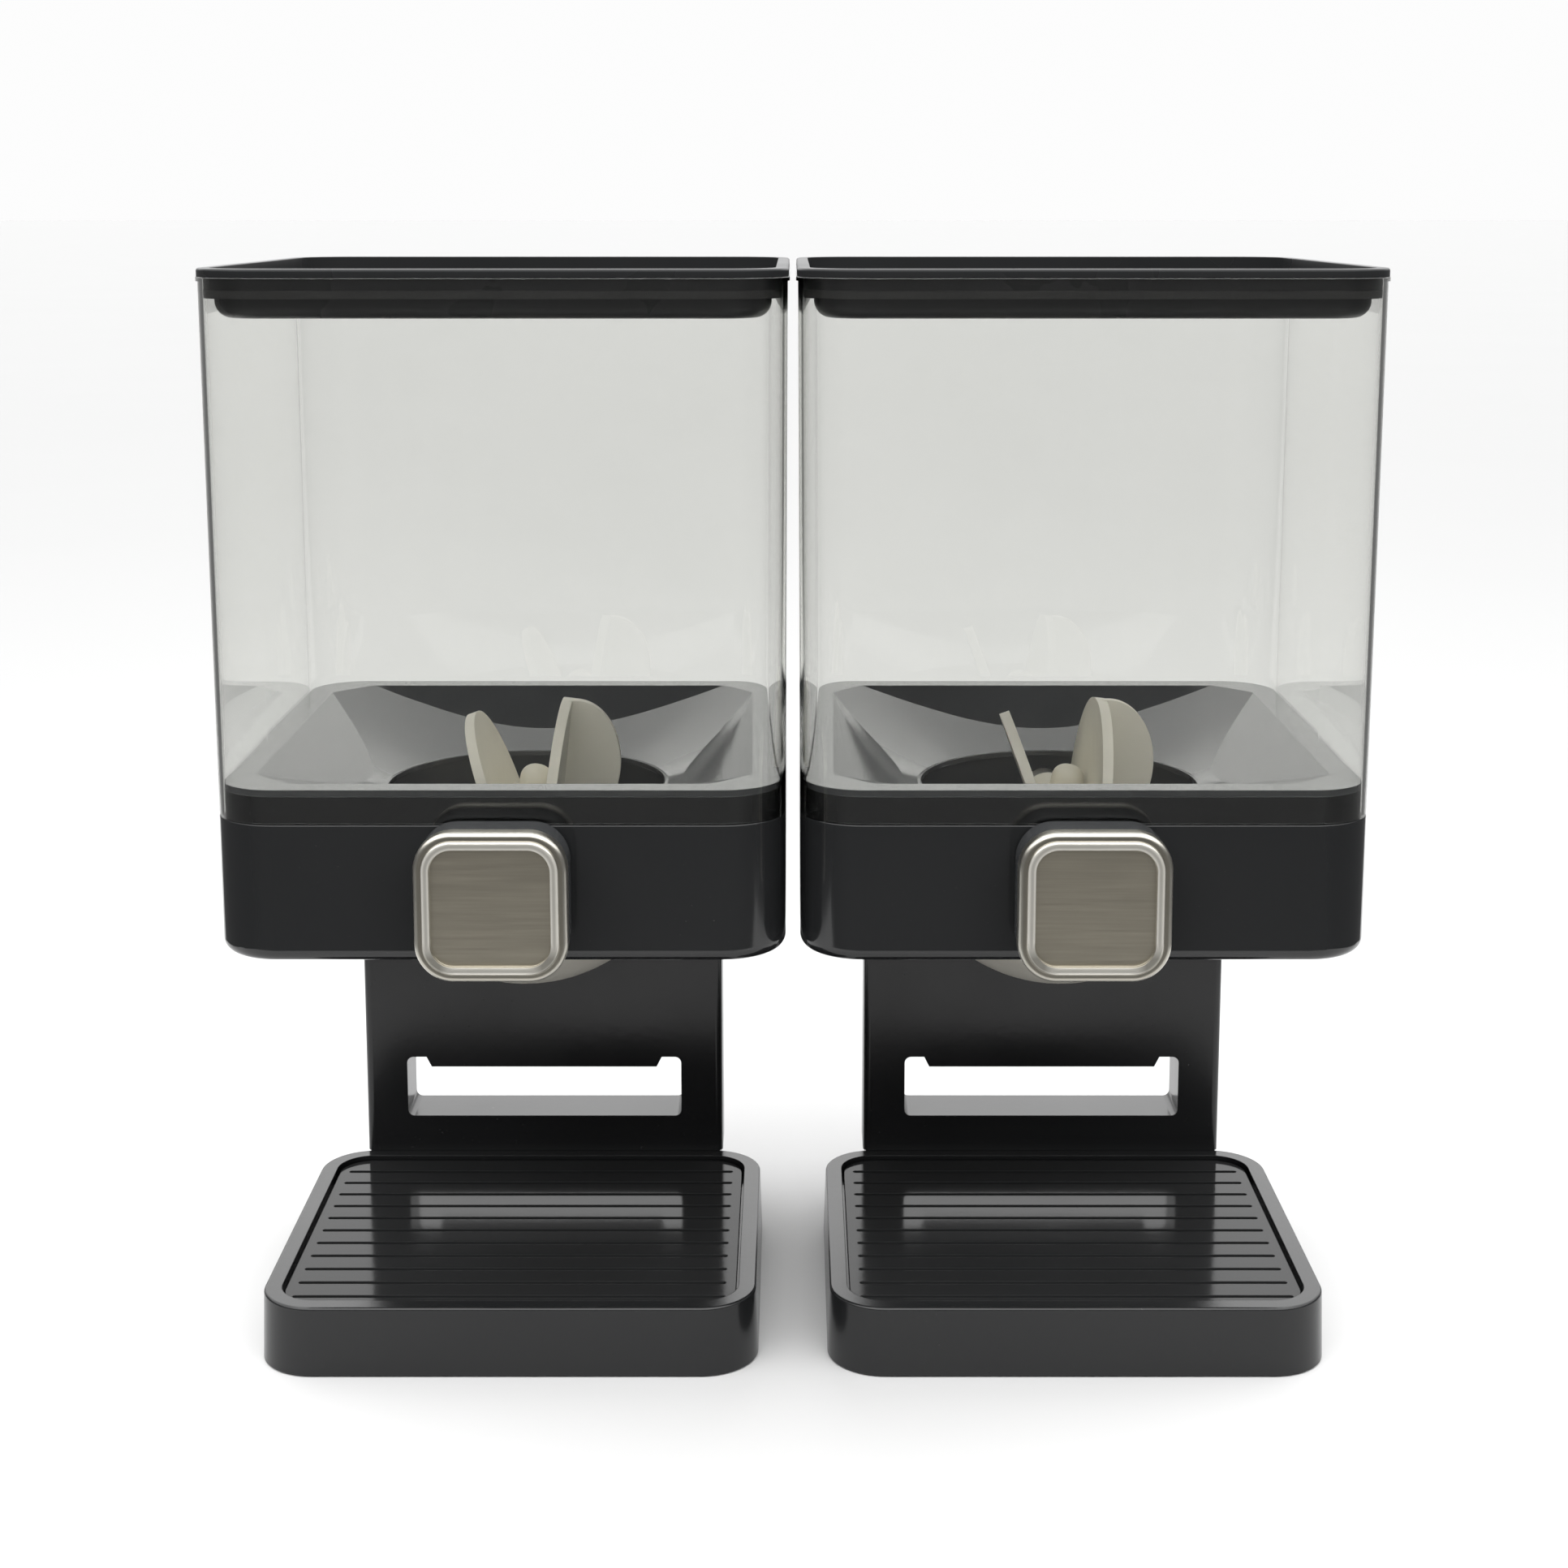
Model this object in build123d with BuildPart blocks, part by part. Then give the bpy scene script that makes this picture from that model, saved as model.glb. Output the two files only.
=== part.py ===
from build123d import *

import os
from math import atan, degrees, radians, cos, sin, sqrt

# Double cereal dispenser: two equal units stand side by side with their knobs towards -Y.
# Every piece is modelled once about its own unit's centre line and then copied to both places.
# Lengths are in millimetres, angles in degrees.

# Set
unit_gap = 3.0
cut_overrun = 1.0

# Clear canister
canister_top_width = 173.5
canister_draw = 0.65
canister_corner_radius = 19.0
canister_wall = 1.4
canister_height = 161.4
canister_lip = 0.6
canister_lip_height = 1.2
canister_lip_round = 0.35

# Lid and its seal
lid_overhang = 0.3
lid_rim_height = 2.6
lid_rim_round = 0.9
lid_plug_clearance = 0.3
lid_plug_height = 3.7
lid_nose_height = 8.3
lid_nose_inset = 3.0
lid_nose_round = 5.0
lid_plug_wall = 1.8
lid_wall = 2.6
lid_floor = 2.4
seal_height = 2.4
seal_clearance = 0.25
seal_fit = 0.05

# Housing and the neck that the canister stands over
housing_height = 42.5
axis_height_share = 0.522
housing_wall = 2.6
housing_floor = 2.6
housing_bottom_round = 4.0
housing_top_round = 0.6
shoulder_thickness = 3.0
neck_height = 8.3
neck_wall = 2.4
neck_clearance = 0.4
bush_boss_radius = 10.5
bush_boss_length = 5.0

# Funnel
funnel_flange = 2.0
funnel_land = 8.3
funnel_mouth_corner = 12.0
funnel_side_share = 0.12
funnel_end_share = 0.32
funnel_cone_share = 1.3
funnel_drop = 17.3
funnel_hole_clearance = 1.15
funnel_hole_flat = 1.2
funnel_skin = 1.8
throat_clearance = 1.5
throat_wall = 2.4
throat_boss_radius = 10.0
throat_boss_length = 9.0
throat_skirt = 1.0
throat_shaft_clearance = 1.0

# Outlet cup below the wheel
cup_clearance = 4.9
cup_wall = 2.6
cup_flange_width = 9.0
cup_flange_thickness = 2.4
cup_hole_clearance = 0.5
cup_rim_gap = 0.4
outlet_radius = 23.0
outlet_offset = 12.0
cup_column_gap = 0.5
cup_screw_count = 4

# Paddle wheel
wheel_radius_share = 0.268
short_blade_set = 6.5
short_blade_end_set = 19.0
long_blade_set = 4.5
long_blade_end_set = 5.0
blade_thickness = 3.4
blade_root = 4.0
blade_pairs = 2
short_blade_angle = -20.0
short_blade_offset = -4.7
long_blade_angle = 6.0
long_blade_offset = 9.4
wing_shift = 3.6
wing_half_width = 16.0
wing_half_height = 22.0
wing_tip_rise = 0.5
barrel_middle_radius = 11.2
barrel_end_radius = 8.6
wheel_boss_radius = 5.4
wheel_boss_reach = 19.2
wheel_boss_round = 4.4
wheel_boss_angle = 12.0
barrel_end_set = 14.0
hub_radius = 7.5
hub_end_set = 11.0
hub_fit = 0.05

# Shaft, its bushes, pin and clip
shaft_radius = 4.0
shaft_running_fit = 0.05
bush_radius = 6.5
bush_seat_fit = 0.05
bush_flange_radius = 9.5
bush_flange = 1.0
pin_radius = 1.5
pin_fit = 0.04
pin_end_gap = 0.4
clip_radius = 7.0
clip_thickness = 1.2
clip_groove_depth = 0.8
clip_gap = 0.3
clip_mouth_width = 5.0
shaft_tail = 2.0

# Knob
knob_width = 45.0
knob_corner_radius = 11.5
knob_reach = 19.0
knob_gap = 1.5
cap_depth = 5.0
cap_wall = 1.2
cap_front = 1.4
cap_edge_round = 1.5
ring_inset = 2.4
ring_band = 2.5
ring_height = 0.9
ring_round = 0.8
panel_recess = 0.3
core_side_step = 0.3
core_fit = 0.1
core_wall = 2.6
core_back = 4.0
core_boss_radius = 9.0
core_web = 3.0
core_edge_round = 1.2
knob_screw_radius = 2.0
knob_screw_length = 12.0
shaft_setback = 6.0

# Column
column_side_set = 13.5
column_depth = 20.0
column_height = 108.7
column_bed = 1.0
column_wall = 2.6
column_floor = 3.0
column_edge_round = 2.5
slot_side_set = 14.65
slot_height = 21.8
slot_sill = 13.1
slot_corner_radius = 2.3
slot_ear = 8.7
slot_lip_drop = 3.6
slot_lip_chamfer = 1.8
slot_liner = 2.4
cover_thickness = 2.2
cover_fit = 0.15
cover_post = 8.0
column_boss_radius = 4.6
column_boss_height = 6.0
column_screw_inset = 11.25

# Base, crumb tray and feet
foot_proud = 0.5
foot_thickness = 2.4
foot_radius = 7.0
foot_fit = 0.1
foot_post_wall = 2.0
foot_inset = 19.0
base_height = 21.7
base_side_set = 9.35
base_depth_share = 0.732
base_front_reach = 1.9
base_corner_radius = 17.0
base_flare = 0.7
base_wall = 2.6
base_deck = 2.6
base_edge_round = 0.9
base_rim = 5.5
tongue_inset = 1.0
tongue_deck = 4.0
tongue_screw_post = 5.2
tray_sink = 1.5
tray_thickness = 2.4
tray_gap = 0.7
tray_edge_round = 0.4
groove_count = 11
groove_width = 1.8
groove_depth = 0.9
groove_side_margin = 3.4
groove_front_margin = 5.2
groove_back_margin = 10.4

# Screws
screw_radius = 1.7
screw_length = 9.0
short_screw_length = 4.4
screw_head_radius = 3.2
screw_head_height = 1.8
screw_recess_width = 0.8
screw_recess_length = 3.4
screw_recess_depth = 0.9
screw_hole_clearance = 0.3
screw_pilot_fit = 0.05
screw_tip_gap = 0.6

# Widths and radii that follow from one another
canister_foot_width = canister_top_width - 2 * canister_draw
housing_width = canister_foot_width
base_width = canister_foot_width - 2 * base_side_set
base_depth = base_depth_share * canister_top_width
column_width = base_width - 2 * column_side_set
column_screw_spacing = column_width - 2 * column_screw_inset
slot_width = column_width - 2 * slot_side_set
slot_lip_width = slot_width - 2 * slot_ear
wheel_radius = wheel_radius_share * canister_top_width
short_blade_radius = wheel_radius - short_blade_set
long_blade_radius = wheel_radius - long_blade_set
wing_rise = long_blade_radius + wing_tip_rise - wing_half_height
barrel_half_length = wheel_radius - barrel_end_set
hub_half_length = wheel_radius - hub_end_set
throat_radius = wheel_radius + throat_clearance
cup_radius = wheel_radius + cup_clearance + cup_wall
ring_outer_width = knob_width - 2 * ring_inset
ring_inner_width = ring_outer_width - 2 * ring_band
axis_rise = axis_height_share * housing_height

# Levels, worked out upwards from the floor
base_bottom_z = foot_proud
base_top_z = base_bottom_z + base_height
housing_bottom_z = base_top_z + column_height
housing_floor_z = housing_bottom_z + housing_floor
shoulder_z = housing_bottom_z + housing_height
neck_top_z = shoulder_z + neck_height
funnel_top_z = neck_top_z + funnel_flange
funnel_hole_z = funnel_top_z - funnel_drop
axis_z = housing_bottom_z + axis_rise
canister_top_z = shoulder_z + canister_height
funnel_hole_radius = sqrt(wheel_radius**2 - (funnel_hole_z - axis_z) ** 2) + funnel_hole_clearance
throat_bottom_z = axis_z - throat_boss_radius - throat_skirt
cup_rim_z = throat_bottom_z - cup_rim_gap
tray_seat_z = base_top_z - tray_sink - tray_thickness

# Places from front to back, with the canister's centre line at zero
housing_front_y = -housing_width / 2
knob_front_y = housing_front_y - knob_reach
knob_back_y = housing_front_y - knob_gap
cap_face_y = knob_front_y + ring_height
core_front_y = cap_face_y + cap_front
base_front_y = -canister_top_width / 2 - base_front_reach
base_back_y = base_front_y + base_depth
base_middle_y = (base_front_y + base_back_y) / 2
column_front_y = base_back_y - column_bed
column_back_y = column_front_y + column_depth
column_middle_y = (column_front_y + column_back_y) / 2
throat_outer_radius = throat_radius + throat_wall
rear_boss_end_y = throat_outer_radius + throat_boss_length
clip_front_y = rear_boss_end_y + bush_flange + clip_gap
shaft_rear_y = clip_front_y + clip_thickness + shaft_tail
shaft_front_y = core_front_y + shaft_setback

# Widths that fit into one another
lip_width = canister_top_width + 2 * canister_lip
lid_width = canister_top_width + 2 * lid_overhang
lid_corner_radius = canister_corner_radius + lid_overhang
mouth_width = canister_top_width - 2 * canister_wall
mouth_corner_radius = canister_corner_radius - canister_wall
neck_inset = canister_wall + neck_clearance
neck_width = canister_foot_width - 2 * neck_inset
neck_corner_radius = canister_corner_radius - neck_inset
funnel_mouth_width = neck_width - 2 * funnel_land
tray_width = base_width - 2 * base_rim - 2 * tray_gap
tray_depth = base_depth - 2 * base_rim - 2 * tray_gap
tray_corner_radius = base_corner_radius - base_rim - tray_gap
screw_hole_radius = screw_radius + screw_hole_clearance
screw_pilot_radius = screw_radius + screw_pilot_fit

# Where the set stands about its own middle
unit_pitch = canister_top_width + unit_gap
set_shift_y = -(knob_front_y + lip_width / 2) / 2
unit_places = {"left": -unit_pitch / 2, "right": unit_pitch / 2}

wheel_axis = Axis((0, 0, axis_z), (0, 1, 0))
column_screw_places = [(side * column_screw_spacing / 2, column_middle_y) for side in (-1, 1)]


def level(z):
    """Level plane at height z, seen from above."""
    return Plane.XY.offset(z)


def facing_front(y, x=0, z=axis_z):
    """Upright plane at depth y whose normal points to the front."""
    return Plane(origin=(x, y, z), x_dir=(1, 0, 0), z_dir=(0, -1, 0))


def facing_back(y, x=0, z=axis_z):
    """Upright plane at depth y whose normal points to the back."""
    return Plane(origin=(x, y, z), x_dir=(-1, 0, 0), z_dir=(0, 1, 0))


def blade_foot(turn, offset):
    """Point beside the wheel's axis from which a blade at this turn rises."""
    return (offset * cos(turn), 0, axis_z - offset * sin(turn))


def radial(angle, offset):
    """Plane along the wheel's axis, its Y direction outward, angle turned from straight up to the right."""
    turn = radians(angle)
    return Plane(origin=blade_foot(turn, offset), x_dir=(0, 1, 0), z_dir=(cos(turn), 0, -sin(turn)))


def crosswise(angle, offset):
    """Plane across the wheel's axis, its Y direction along the blade at this angle, X to the right of it."""
    turn = radians(angle)
    return Plane(origin=blade_foot(turn, offset), x_dir=(cos(turn), 0, -sin(turn)), z_dir=(0, -1, 0))


def make_screws(planes, length):
    """Pan-head screws whose heads sit on the given planes and whose shanks run behind them."""
    with BuildPart() as screws:
        for seat in planes:
            with BuildSketch(seat):
                Circle(screw_radius)
            extrude(amount=-length)
            with BuildSketch(seat):
                Circle(screw_head_radius)
            extrude(amount=screw_head_height)
            with BuildSketch(seat.offset(screw_head_height)):
                Rectangle(screw_recess_length, screw_recess_width)
                Rectangle(screw_recess_width, screw_recess_length)
            extrude(amount=-screw_recess_depth, mode=Mode.SUBTRACT)
    return screws.part


foot_places = [
    (side * (base_width / 2 - foot_inset), y)
    for side in (-1, 1)
    for y in (base_front_y + foot_inset, base_back_y - foot_inset)
]


def make_base_shell():
    """Hollow foot with a flared wall, the tray's recess and a tongue behind that carries the column."""
    deck_under_z = tray_seat_z - base_deck
    tongue_width = column_width - 2 * tongue_inset
    tongue_start_y = base_back_y - base_rim
    tongue_middle_y = (tongue_start_y + column_back_y) / 2
    tongue_under_z = base_top_z - tongue_deck
    flare_angle = degrees(atan(base_flare / base_height))
    with BuildPart() as base_shell:
        with BuildSketch(level(base_bottom_z)):
            with Locations((0, base_middle_y)):
                RectangleRounded(
                    base_width + 2 * base_flare, base_depth + 2 * base_flare, base_corner_radius + base_flare
                )
        extrude(amount=base_height, taper=flare_angle)
        fillet(base_shell.faces().sort_by(Axis.Z)[-1].edges(), radius=base_edge_round)
        with BuildSketch(level(base_bottom_z)):
            with Locations((0, tongue_middle_y)):
                Rectangle(tongue_width, column_back_y - tongue_start_y)
        extrude(amount=base_height)
        with BuildSketch(level(base_bottom_z)):
            with Locations((0, base_middle_y)):
                RectangleRounded(
                    base_width - 2 * base_wall, base_depth - 2 * base_wall, base_corner_radius - base_wall
                )
        extrude(amount=deck_under_z - base_bottom_z, mode=Mode.SUBTRACT)
        with BuildSketch(level(base_bottom_z)):
            with Locations((0, (base_back_y + column_back_y) / 2)):
                Rectangle(tongue_width - 2 * base_wall, column_back_y - base_back_y - 2 * base_wall)
        extrude(amount=tongue_under_z - base_bottom_z, mode=Mode.SUBTRACT)
        with BuildSketch(level(tray_seat_z)):
            with Locations((0, base_middle_y)):
                RectangleRounded(
                    base_width - 2 * base_rim, base_depth - 2 * base_rim, base_corner_radius - base_rim
                )
        extrude(amount=tray_sink + tray_thickness, mode=Mode.SUBTRACT)
        with BuildSketch(level(base_bottom_z)):
            with Locations(*foot_places):
                Circle(foot_radius + foot_post_wall)
        extrude(amount=tray_seat_z - base_bottom_z)
        with BuildSketch(level(base_bottom_z)):
            with Locations(*foot_places):
                Circle(foot_radius + foot_fit)
        extrude(amount=foot_thickness - foot_proud, mode=Mode.SUBTRACT)
        with BuildSketch(level(tongue_under_z)):
            with Locations(*column_screw_places):
                Circle(tongue_screw_post)
        extrude(amount=tongue_deck)
        with BuildSketch(level(tongue_under_z)):
            with Locations(*column_screw_places):
                Circle(screw_hole_radius)
        extrude(amount=tongue_deck, mode=Mode.SUBTRACT)
    return base_shell.part


def make_crumb_tray():
    """Loose panel in the base with straight grooves from side to side."""
    groove_length = tray_width - 2 * groove_side_margin
    first_groove_y = base_middle_y - tray_depth / 2 + groove_front_margin
    groove_pitch = (tray_depth - groove_front_margin - groove_back_margin) / (groove_count - 1)
    groove_places = [(0, first_groove_y + step * groove_pitch) for step in range(groove_count)]
    with BuildPart() as crumb_tray:
        with BuildSketch(level(tray_seat_z)):
            with Locations((0, base_middle_y)):
                RectangleRounded(tray_width, tray_depth, tray_corner_radius)
        extrude(amount=tray_thickness)
        fillet(crumb_tray.faces().sort_by(Axis.Z)[-1].edges(), radius=tray_edge_round)
        with BuildSketch(level(tray_seat_z + tray_thickness)):
            with Locations(*groove_places):
                SlotOverall(groove_length, groove_width)
        extrude(amount=-groove_depth, mode=Mode.SUBTRACT)
    return crumb_tray.part


def make_base_feet():
    """Four rubber pads let into the base's posts."""
    with BuildPart() as base_feet:
        with BuildSketch(level(0)):
            with Locations(*foot_places):
                Circle(foot_radius)
        extrude(amount=foot_thickness)
    return base_feet.part


slot_bottom_z = base_top_z + slot_sill
slot_middle_z = slot_bottom_z + slot_height / 2
cavity_bottom_z = base_top_z + column_floor
cavity_top_z = housing_bottom_z - column_floor
cavity_middle_z = (cavity_bottom_z + cavity_top_z) / 2
cavity_width = column_width - 2 * column_wall
cavity_height = cavity_top_z - cavity_bottom_z
cover_seat_y = column_back_y - cover_thickness
cover_screw_places = [
    (across * (cavity_width - cover_post) / 2, cavity_middle_z + up * (cavity_height - cover_post) / 2)
    for across in (-1, 1)
    for up in (-1, 1)
]


def make_column_shell():
    """Hollow upright, open at the back, scalloped for the cup, with a lined hand slot right through it."""
    inner_front_y = column_front_y + column_wall
    scallop_radius = cup_radius + cup_column_gap
    with BuildPart() as column_hollow:
        with BuildSketch(facing_back(inner_front_y, z=cavity_middle_z)):
            Rectangle(cavity_width, cavity_height)
        extrude(amount=column_depth)
        with Locations((0, 0, axis_z)):
            Sphere(scallop_radius + column_wall, mode=Mode.SUBTRACT)
    with BuildPart() as column_shell:
        with BuildSketch(level(base_top_z)):
            with Locations((0, column_middle_y)):
                RectangleRounded(column_width, column_depth, column_edge_round)
        extrude(amount=column_height)
        add(column_hollow.part, mode=Mode.SUBTRACT)
        for across, up in cover_screw_places:
            with BuildSketch(facing_back(inner_front_y, x=across, z=up)):
                Rectangle(cover_post, cover_post)
            extrude(amount=cover_seat_y - inner_front_y)
        with BuildSketch(level(cavity_bottom_z)):
            with Locations(*column_screw_places):
                Circle(column_boss_radius)
        extrude(amount=column_boss_height)
        with BuildSketch(level(cavity_top_z)):
            with Locations(*column_screw_places):
                Circle(column_boss_radius)
        extrude(amount=-column_boss_height)
        with BuildSketch(facing_back(inner_front_y, z=slot_middle_z)):
            Rectangle(slot_width + 2 * slot_liner, slot_height + 2 * slot_liner)
        extrude(amount=column_back_y - inner_front_y)
        with Locations((0, 0, axis_z)):
            Sphere(scallop_radius, mode=Mode.SUBTRACT)
        with BuildSketch(facing_front(column_front_y - cut_overrun, z=slot_bottom_z)):
            with Locations((0, slot_height / 2)):
                RectangleRounded(slot_width, slot_height, slot_corner_radius)
            with BuildLine():
                Polyline(
                    (-slot_lip_width / 2 - slot_lip_chamfer, slot_height),
                    (-slot_lip_width / 2, slot_height - slot_lip_drop),
                    (slot_lip_width / 2, slot_height - slot_lip_drop),
                    (slot_lip_width / 2 + slot_lip_chamfer, slot_height),
                    close=True,
                )
            make_face(mode=Mode.SUBTRACT)
        extrude(amount=-(column_depth + 2 * cut_overrun), mode=Mode.SUBTRACT)
        with BuildSketch(level(base_top_z)):
            with Locations(*column_screw_places):
                Circle(screw_pilot_radius)
        extrude(amount=column_floor + column_boss_height, mode=Mode.SUBTRACT)
        with BuildSketch(level(housing_bottom_z)):
            with Locations(*column_screw_places):
                Circle(screw_pilot_radius)
        extrude(amount=-(column_floor + column_boss_height), mode=Mode.SUBTRACT)
        for across, up in cover_screw_places:
            with BuildSketch(facing_back(cover_seat_y, x=across, z=up)):
                Circle(screw_pilot_radius)
            extrude(amount=-(screw_length - cover_thickness + screw_tip_gap), mode=Mode.SUBTRACT)
    return column_shell.part


def make_column_rear_cover():
    """Flat panel that closes the column's back round the slot's liner."""
    with BuildPart() as column_rear_cover:
        with BuildSketch(facing_back(cover_seat_y, z=cavity_middle_z)):
            Rectangle(cavity_width - 2 * cover_fit, cavity_height - 2 * cover_fit)
            with Locations((0, slot_middle_z - cavity_middle_z)):
                Rectangle(
                    slot_width + 2 * slot_liner + 2 * cover_fit,
                    slot_height + 2 * slot_liner + 2 * cover_fit,
                    mode=Mode.SUBTRACT,
                )
        extrude(amount=cover_thickness)
        for across, up in cover_screw_places:
            with BuildSketch(facing_back(cover_seat_y, x=across, z=up)):
                Circle(screw_hole_radius)
            extrude(amount=cover_thickness, mode=Mode.SUBTRACT)
    return column_rear_cover.part


def make_cover_screws():
    """Screws that hold the rear cover to the column's posts."""
    return make_screws([facing_back(column_back_y, x=x, z=z) for x, z in cover_screw_places], screw_length)


def make_column_base_screws():
    """Screws driven up through the base's tongue into the column."""
    under = base_top_z - tongue_deck
    seats = [Plane(origin=(x, y, under), x_dir=(1, 0, 0), z_dir=(0, 0, -1)) for x, y in column_screw_places]
    return make_screws(seats, screw_length)


def make_housing_column_screws():
    """Screws driven down through the housing's floor into the column."""
    seats = [Plane(origin=(x, y, housing_floor_z)) for x, y in column_screw_places]
    return make_screws(seats, screw_length)


cup_neck_radius = sqrt(cup_radius**2 - (axis_z - housing_floor_z) ** 2)
cup_hole_radius = cup_neck_radius + cup_hole_clearance
cup_flange_radius = cup_hole_radius + cup_flange_width
cup_screw_circle = cup_hole_radius + cup_flange_width / 2
cup_flange_top_z = housing_floor_z + cup_flange_thickness


def make_housing_shell():
    """Square housing with a floor, a narrower neck on top and a bored boss behind its front wall."""
    cavity_top = shoulder_z - shoulder_thickness
    neck_inner_width = neck_width - 2 * neck_wall
    wall_back_y = housing_front_y + housing_wall
    with BuildPart() as housing_shell:
        with BuildSketch(level(housing_bottom_z)):
            RectangleRounded(housing_width, housing_width, canister_corner_radius)
        extrude(amount=housing_height)
        fillet(housing_shell.faces().sort_by(Axis.Z)[0].edges(), radius=housing_bottom_round)
        fillet(housing_shell.faces().sort_by(Axis.Z)[-1].edges(), radius=housing_top_round)
        with BuildSketch(level(shoulder_z)):
            RectangleRounded(neck_width, neck_width, neck_corner_radius)
        extrude(amount=neck_height)
        with BuildSketch(level(housing_floor_z)):
            RectangleRounded(
                housing_width - 2 * housing_wall,
                housing_width - 2 * housing_wall,
                canister_corner_radius - housing_wall,
            )
        extrude(amount=cavity_top - housing_floor_z, mode=Mode.SUBTRACT)
        with BuildSketch(level(cavity_top)):
            RectangleRounded(neck_inner_width, neck_inner_width, neck_corner_radius - neck_wall)
        extrude(amount=neck_top_z - cavity_top + cut_overrun, mode=Mode.SUBTRACT)
        with BuildSketch(facing_back(wall_back_y)):
            Circle(bush_boss_radius)
        extrude(amount=bush_boss_length)
        with BuildSketch(facing_back(housing_front_y)):
            Circle(bush_radius + bush_seat_fit)
        extrude(amount=housing_wall + bush_boss_length, mode=Mode.SUBTRACT)
        with BuildSketch(level(housing_bottom_z)):
            Circle(cup_hole_radius)
            with Locations(*column_screw_places):
                Circle(screw_hole_radius)
        extrude(amount=housing_floor, mode=Mode.SUBTRACT)
        with BuildSketch(level(housing_floor_z)):
            with PolarLocations(cup_screw_circle, cup_screw_count, start_angle=360 / cup_screw_count / 2):
                Circle(screw_pilot_radius)
        extrude(amount=-(short_screw_length - cup_flange_thickness), mode=Mode.SUBTRACT)
    return housing_shell.part


def make_bowl(top_z, mouth_grow, sink):
    """Space inside the funnel: flat walls, steeper at front and back, down to a wide cone round the hole."""
    mouth = funnel_mouth_width + 2 * mouth_grow
    foot = 2 * (funnel_hole_radius + mouth_grow)
    wall_run = funnel_mouth_width - 2 * funnel_hole_radius
    foot_width = foot + funnel_side_share * wall_run
    foot_depth = foot + funnel_end_share * wall_run
    bottom_z = funnel_hole_z - sink
    with BuildPart() as bowl:
        with BuildSketch(level(top_z)):
            RectangleRounded(mouth, mouth, funnel_mouth_corner + mouth_grow)
        with BuildSketch(level(bottom_z)):
            RectangleRounded(foot_width, foot_depth, funnel_mouth_corner + mouth_grow)
        loft(ruled=True)
        with Locations((0, 0, bottom_z)):
            Cone(
                funnel_hole_radius + funnel_hole_flat,
                funnel_cone_share * funnel_mouth_width / 2,
                funnel_drop,
                align=(Align.CENTER, Align.CENTER, Align.MIN),
                mode=Mode.INTERSECT,
            )
    return bowl.part


def make_funnel():
    """Square-to-round floor with a flange on the neck and a throat that carries the shaft's rear bush."""
    with BuildPart() as funnel:
        add(make_bowl(neck_top_z, funnel_skin, funnel_skin))
        with BuildSketch(level(neck_top_z)):
            RectangleRounded(neck_width, neck_width, neck_corner_radius)
        extrude(amount=funnel_flange)
        with BuildSketch(level(throat_bottom_z)):
            Circle(throat_outer_radius)
        extrude(amount=funnel_hole_z - throat_bottom_z)
        with BuildSketch(facing_back(0)):
            Circle(throat_boss_radius)
        extrude(amount=rear_boss_end_y)
        add(make_bowl(funnel_top_z, 0, 0), mode=Mode.SUBTRACT)
        with BuildSketch(level(throat_bottom_z)):
            Circle(funnel_hole_radius)
        extrude(amount=funnel_hole_z - throat_bottom_z, mode=Mode.SUBTRACT)
        with BuildSketch(level(throat_bottom_z)):
            Circle(throat_radius)
        extrude(amount=funnel_hole_z - funnel_skin - throat_bottom_z, mode=Mode.SUBTRACT)
        with BuildSketch(facing_back(0)):
            Circle(bush_radius + bush_seat_fit)
        extrude(amount=rear_boss_end_y, mode=Mode.SUBTRACT)
        with BuildSketch(facing_front(0)):
            Circle(shaft_radius + throat_shaft_clearance)
        extrude(amount=throat_outer_radius, mode=Mode.SUBTRACT)
    return funnel.part


def make_outlet_cup():
    """Round-bottomed cup below the wheel, held by its flange, with the outlet behind its middle."""
    with BuildPart() as outlet_cup:
        with Locations((0, 0, axis_z)):
            Sphere(cup_radius)
        with BuildSketch(level(housing_floor_z)):
            Circle(cup_flange_radius)
        extrude(amount=cup_flange_thickness)
        with Locations((0, 0, axis_z)):
            Sphere(cup_radius - cup_wall, mode=Mode.SUBTRACT)
        split(bisect_by=level(cup_rim_z), keep=Keep.BOTTOM)
        with BuildSketch(level(axis_z - cup_radius)):
            with Locations((0, outlet_offset)):
                Circle(outlet_radius)
        extrude(amount=cup_radius / 2, mode=Mode.SUBTRACT)
        with BuildSketch(level(housing_floor_z)):
            with PolarLocations(cup_screw_circle, cup_screw_count, start_angle=360 / cup_screw_count / 2):
                Circle(screw_hole_radius)
        extrude(amount=cup_flange_thickness, mode=Mode.SUBTRACT)
    return outlet_cup.part


def make_cup_screws():
    """Short screws through the cup's flange into the housing's floor."""
    turns = [radians(360 / cup_screw_count * (step + 1 / 2)) for step in range(cup_screw_count)]
    places = [(cup_screw_circle * cos(turn), cup_screw_circle * sin(turn)) for turn in turns]
    seats = [Plane(origin=(x, y, cup_flange_top_z)) for x, y in places]
    return make_screws(seats, short_screw_length)


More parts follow.
